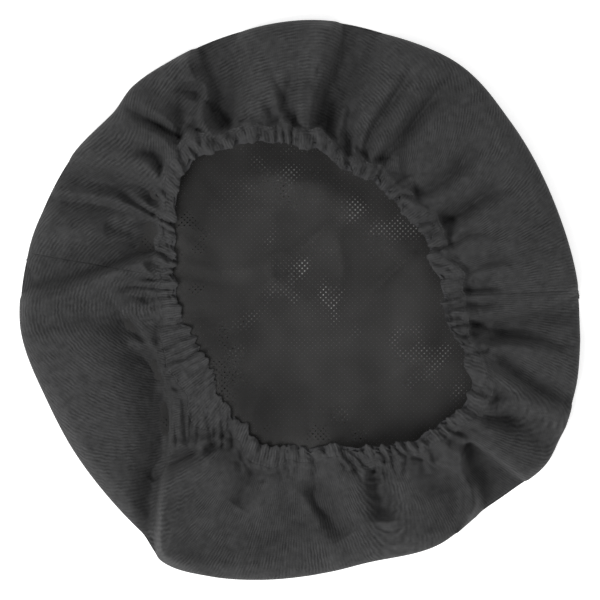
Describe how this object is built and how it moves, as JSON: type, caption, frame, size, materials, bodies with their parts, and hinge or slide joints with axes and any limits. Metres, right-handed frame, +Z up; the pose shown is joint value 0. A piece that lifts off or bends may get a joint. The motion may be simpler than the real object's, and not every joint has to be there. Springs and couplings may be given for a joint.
{
  "type": "chef cap",
  "caption": "Soft bouffant chef's cap with a mesh crown, a gathered twill side band and an elastic hem round the head opening.",
  "frame": {"origin": "middle of the cap's box, on the surface that the crown lies on", "axes": "+Z up out of the head opening, +Y towards the back of the band, +X to the right"},
  "size_m": [0.2906, 0.2901, 0.038],
  "materials": {
    "twill": "black poly-cotton twill, matt, faded a little to charcoal on the folds, with fine wale lines",
    "mesh_cloth": "black knitted mesh with fine open holes, matt",
    "overlock": "black overlock thread over the cut edges",
    "thread": "black spun polyester sewing thread",
    "elastic": "black braided elastic"
  },
  "bodies": {
    "root": {"crown_mesh": "mesh_cloth", "crown_seam": "overlock", "crown_topstitch": "thread", "side_band_back": "twill", "side_band_front": "twill", "side_seam_left": "overlock", "side_seam_right": "overlock", "hem_casing": "twill", "hem_stitch": "thread", "elastic_band": "elastic", "elastic_join": "thread"}
  },
  "joints": []
}
